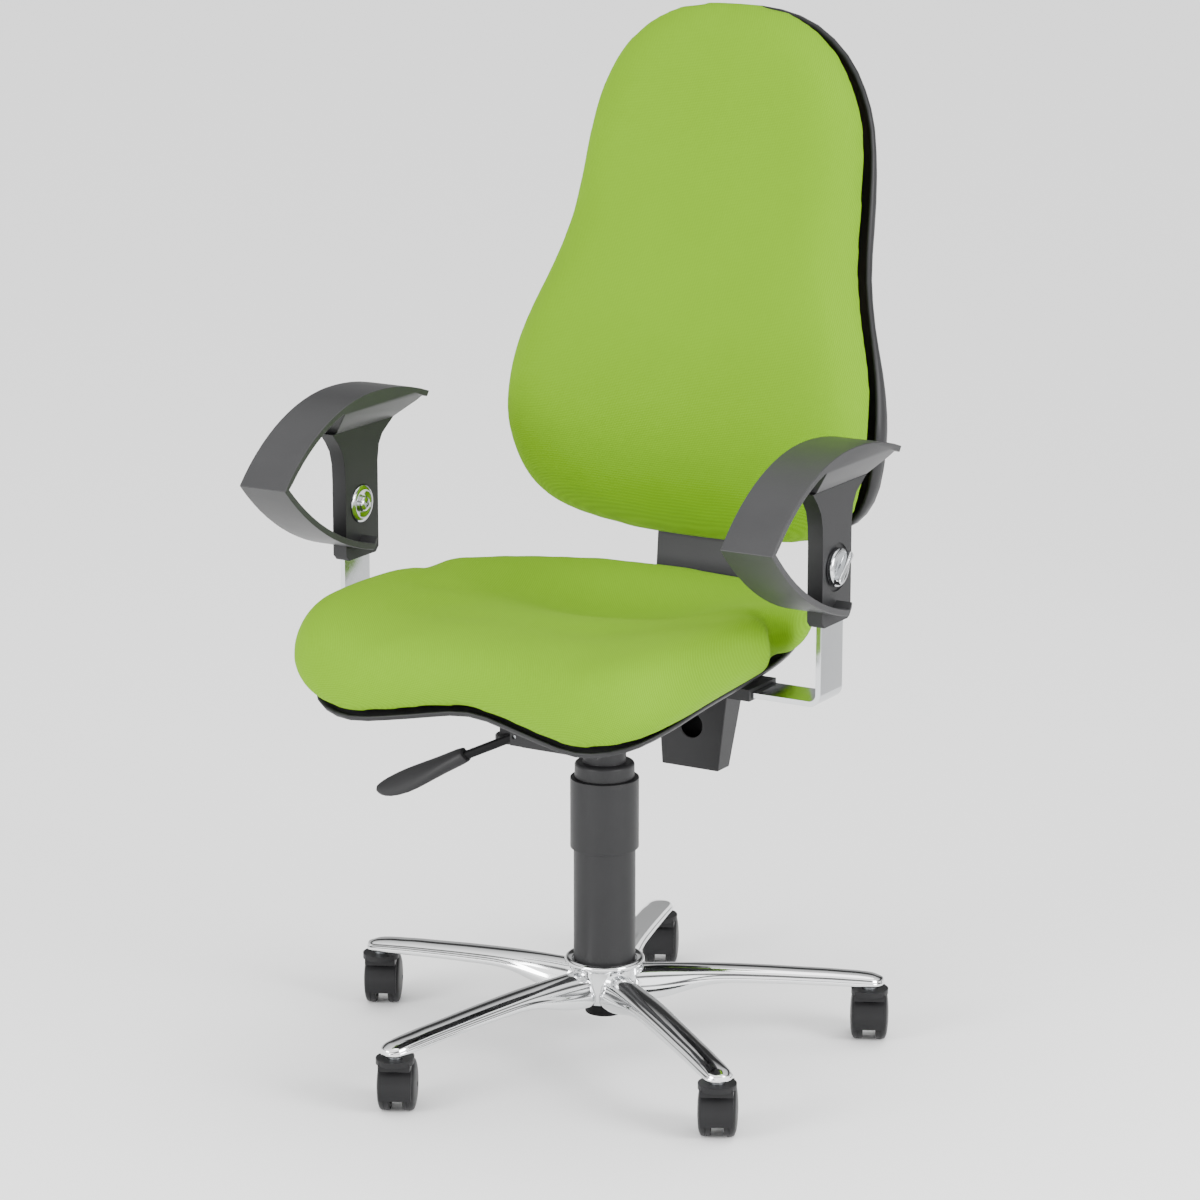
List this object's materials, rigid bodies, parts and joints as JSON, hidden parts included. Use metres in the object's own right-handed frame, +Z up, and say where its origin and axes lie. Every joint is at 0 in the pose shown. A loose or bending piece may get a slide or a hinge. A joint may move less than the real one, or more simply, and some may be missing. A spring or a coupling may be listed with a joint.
{
  "type": "swivel office chair",
  "caption": "Height-adjustable swivel office chair with a saddle-edged seat, pear-shaped high backrest, ring armrests and a polished star base on casters.",
  "frame": {"origin": "on the column axis at floor level", "axes": "+Z up along the column, -Y the way the sitter faces, +X the sitter's left"},
  "size_m": [0.6723, 0.6538, 1.16],
  "materials": {
    "polished_aluminium": "die-cast, polished to a mirror",
    "chromed_steel": "chrome-plated, bright",
    "zinc_steel": "zinc-plated steel, satin",
    "black_steel": "black powder coat, fine texture",
    "bush_plastic": "natural acetal",
    "black_plastic": "injection-moulded polypropylene, fine grain",
    "caster_plastic": "injection-moulded nylon, matt",
    "armrest_foam": "moulded integral-skin polyurethane, matt",
    "plywood": "raw beech plywood",
    "green_fabric": "lime green knitted polyester, fine diagonal rib"
  },
  "bodies": {
    "base": {"star_base": "polished_aluminium", "caster_stems": "zinc_steel", "stand_tube": "black_steel", "guide_bush": "bush_plastic", "thrust_bearing": "zinc_steel", "lower_cover_tube": "black_plastic"},
    "caster_1": {"caster_hood_1": "caster_plastic"},
    "caster_1_wheel_left": {"wheel_left_1": "caster_plastic"},
    "caster_1_wheel_right": {"wheel_right_1": "caster_plastic"},
    "caster_2": {"caster_hood_2": "caster_plastic"},
    "caster_2_wheel_left": {"wheel_left_2": "caster_plastic"},
    "caster_2_wheel_right": {"wheel_right_2": "caster_plastic"},
    "caster_3": {"caster_hood_3": "caster_plastic"},
    "caster_3_wheel_left": {"wheel_left_3": "caster_plastic"},
    "caster_3_wheel_right": {"wheel_right_3": "caster_plastic"},
    "caster_4": {"caster_hood_4": "caster_plastic"},
    "caster_4_wheel_left": {"wheel_left_4": "caster_plastic"},
    "caster_4_wheel_right": {"wheel_right_4": "caster_plastic"},
    "caster_5": {"caster_hood_5": "caster_plastic"},
    "caster_5_wheel_left": {"wheel_left_5": "caster_plastic"},
    "caster_5_wheel_right": {"wheel_right_5": "caster_plastic"},
    "lift_rod": {"piston_rod": "zinc_steel", "rod_clip": "zinc_steel"},
    "seat": {"gas_cylinder": "black_steel", "cover_sleeve": "black_plastic", "cover_cap": "black_plastic", "mechanism_housing": "black_plastic", "seat_plate": "black_steel", "recline_pin": "zinc_steel", "recline_spring": "zinc_steel", "lever_pin": "zinc_steel", "seat_shell": "black_plastic", "seat_board": "plywood", "seat_cushion": "green_fabric", "seat_screws": "zinc_steel", "holder_left": "black_plastic", "holder_right": "black_plastic"},
    "release_pin": {"release_pin": "zinc_steel"},
    "lift_lever": {"lift_lever": "black_steel", "lever_paddle": "black_plastic"},
    "tension_knob": {"tension_knob": "black_plastic"},
    "back_arm": {"back_arm": "black_steel", "back_arm_cover": "black_plastic"},
    "backrest": {"back_shell": "black_plastic", "back_board": "plywood", "back_slider": "black_plastic", "back_cushion": "green_fabric", "back_screws": "zinc_steel"},
    "arm_bar_left": {"flat_bar_left": "chromed_steel"},
    "armrest_left": {"arm_post_left": "black_plastic", "arm_band_left": "armrest_foam", "clamp_bolt_left": "chromed_steel"},
    "wing_knob_left": {"wing_knob_left": "chromed_steel"},
    "arm_bar_right": {"flat_bar_right": "chromed_steel"},
    "armrest_right": {"arm_post_right": "black_plastic", "arm_band_right": "armrest_foam", "clamp_bolt_right": "chromed_steel"},
    "wing_knob_right": {"wing_knob_right": "chromed_steel"}
  },
  "joints": [
    {"name": "caster_1_swivel", "type": "hinge", "parent": "base", "child": "caster_1", "pos_m": [-0.302, 0, 0.06], "axis": [0, 0, 1], "continuous": true},
    {"name": "caster_1_wheel_left_roll", "type": "hinge", "parent": "caster_1", "child": "caster_1_wheel_left", "pos_m": [-0.31199, 0.0196, 0.029], "axis": [0.891, 0.454, 0], "continuous": true},
    {"name": "caster_1_wheel_right_roll", "type": "hinge", "parent": "caster_1", "child": "caster_1_wheel_right", "pos_m": [-0.31199, 0.0196, 0.029], "axis": [0.891, 0.454, 0], "continuous": true},
    {"name": "caster_2_swivel", "type": "hinge", "parent": "base", "child": "caster_2", "pos_m": [-0.09332, -0.28722, 0.06], "axis": [0, 0, 1], "continuous": true},
    {"name": "caster_2_wheel_left_roll", "type": "hinge", "parent": "caster_2", "child": "caster_2_wheel_left", "pos_m": [-0.10331, -0.26762, 0.029], "axis": [0.891, 0.454, 0], "continuous": true},
    {"name": "caster_2_wheel_right_roll", "type": "hinge", "parent": "caster_2", "child": "caster_2_wheel_right", "pos_m": [-0.10331, -0.26762, 0.029], "axis": [0.891, 0.454, 0], "continuous": true},
    {"name": "caster_3_swivel", "type": "hinge", "parent": "base", "child": "caster_3", "pos_m": [0.24432, -0.17751, 0.06], "axis": [0, 0, 1], "continuous": true},
    {"name": "caster_3_wheel_left_roll", "type": "hinge", "parent": "caster_3", "child": "caster_3_wheel_left", "pos_m": [0.23433, -0.15791, 0.029], "axis": [0.891, 0.454, 0], "continuous": true},
    {"name": "caster_3_wheel_right_roll", "type": "hinge", "parent": "caster_3", "child": "caster_3_wheel_right", "pos_m": [0.23433, -0.15791, 0.029], "axis": [0.891, 0.454, 0], "continuous": true},
    {"name": "caster_4_swivel", "type": "hinge", "parent": "base", "child": "caster_4", "pos_m": [0.24432, 0.17751, 0.06], "axis": [0, 0, 1], "continuous": true},
    {"name": "caster_4_wheel_left_roll", "type": "hinge", "parent": "caster_4", "child": "caster_4_wheel_left", "pos_m": [0.23433, 0.19711, 0.029], "axis": [0.891, 0.454, 0], "continuous": true},
    {"name": "caster_4_wheel_right_roll", "type": "hinge", "parent": "caster_4", "child": "caster_4_wheel_right", "pos_m": [0.23433, 0.19711, 0.029], "axis": [0.891, 0.454, 0], "continuous": true},
    {"name": "caster_5_swivel", "type": "hinge", "parent": "base", "child": "caster_5", "pos_m": [-0.09332, 0.28722, 0.06], "axis": [0, 0, 1], "continuous": true},
    {"name": "caster_5_wheel_left_roll", "type": "hinge", "parent": "caster_5", "child": "caster_5_wheel_left", "pos_m": [-0.10331, 0.30682, 0.029], "axis": [0.891, 0.454, 0], "continuous": true},
    {"name": "caster_5_wheel_right_roll", "type": "hinge", "parent": "caster_5", "child": "caster_5_wheel_right", "pos_m": [-0.10331, 0.30682, 0.029], "axis": [0.891, 0.454, 0], "continuous": true},
    {"name": "seat_swivel", "type": "hinge", "parent": "base", "child": "lift_rod", "pos_m": [0, 0, 0.3], "axis": [0, 0, 1], "continuous": true},
    {"name": "seat_lift", "type": "slide", "parent": "lift_rod", "child": "seat", "axis": [0, 0, 1], "range_m": [-0.07, 0]},
    {"name": "release_pin_press", "type": "slide", "parent": "seat", "child": "release_pin", "axis": [0, 0, -1], "range_m": [0, 0.004], "stiffness_N_per_m": 600, "springref_m": -0.001},
    {"name": "lift_lever_pull", "type": "hinge", "parent": "seat", "child": "lift_lever", "pos_m": [-0.059, -0.084, 0.385], "axis": [0, 1, 0], "range_deg": [0, 8], "stiffness_Nm_per_rad": 3, "springref_deg": -6.88},
    {"name": "tension_knob_turn", "type": "hinge", "parent": "seat", "child": "tension_knob", "pos_m": [-0.088, -0.058, 0.375], "axis": [0, 0, 1], "range_deg": [-180, 180]},
    {"name": "back_recline", "type": "hinge", "parent": "seat", "child": "back_arm", "pos_m": [0, 0.095, 0.43], "axis": [-1, 0, 0], "range_deg": [0, 18], "stiffness_Nm_per_rad": 60, "springref_deg": -20.05},
    {"name": "back_height", "type": "slide", "parent": "back_arm", "child": "backrest", "axis": [0, 0, 1], "range_m": [0, 0.06]},
    {"name": "arm_left_width", "type": "slide", "parent": "seat", "child": "arm_bar_left", "axis": [1, 0, 0], "range_m": [-0.015, 0.025]},
    {"name": "arm_left_height", "type": "slide", "parent": "arm_bar_left", "child": "armrest_left", "axis": [0, 0, 1], "range_m": [-0.035, 0.03]},
    {"name": "wing_knob_left_turn", "type": "hinge", "parent": "armrest_left", "child": "wing_knob_left", "pos_m": [0.316, -0.043, 0.611], "axis": [1, 0, 0], "range_deg": [0, 270]},
    {"name": "arm_right_width", "type": "slide", "parent": "seat", "child": "arm_bar_right", "axis": [-1, 0, 0], "range_m": [-0.015, 0.025]},
    {"name": "arm_right_height", "type": "slide", "parent": "arm_bar_right", "child": "armrest_right", "axis": [0, 0, 1], "range_m": [-0.035, 0.03]},
    {"name": "wing_knob_right_turn", "type": "hinge", "parent": "armrest_right", "child": "wing_knob_right", "pos_m": [-0.316, -0.043, 0.611], "axis": [-1, 0, 0], "range_deg": [0, 270]}
  ],
  "couplings": [
    {"joint": "release_pin_press", "follows": "lift_lever_pull", "m_per_rad": 0.028}
  ]
}
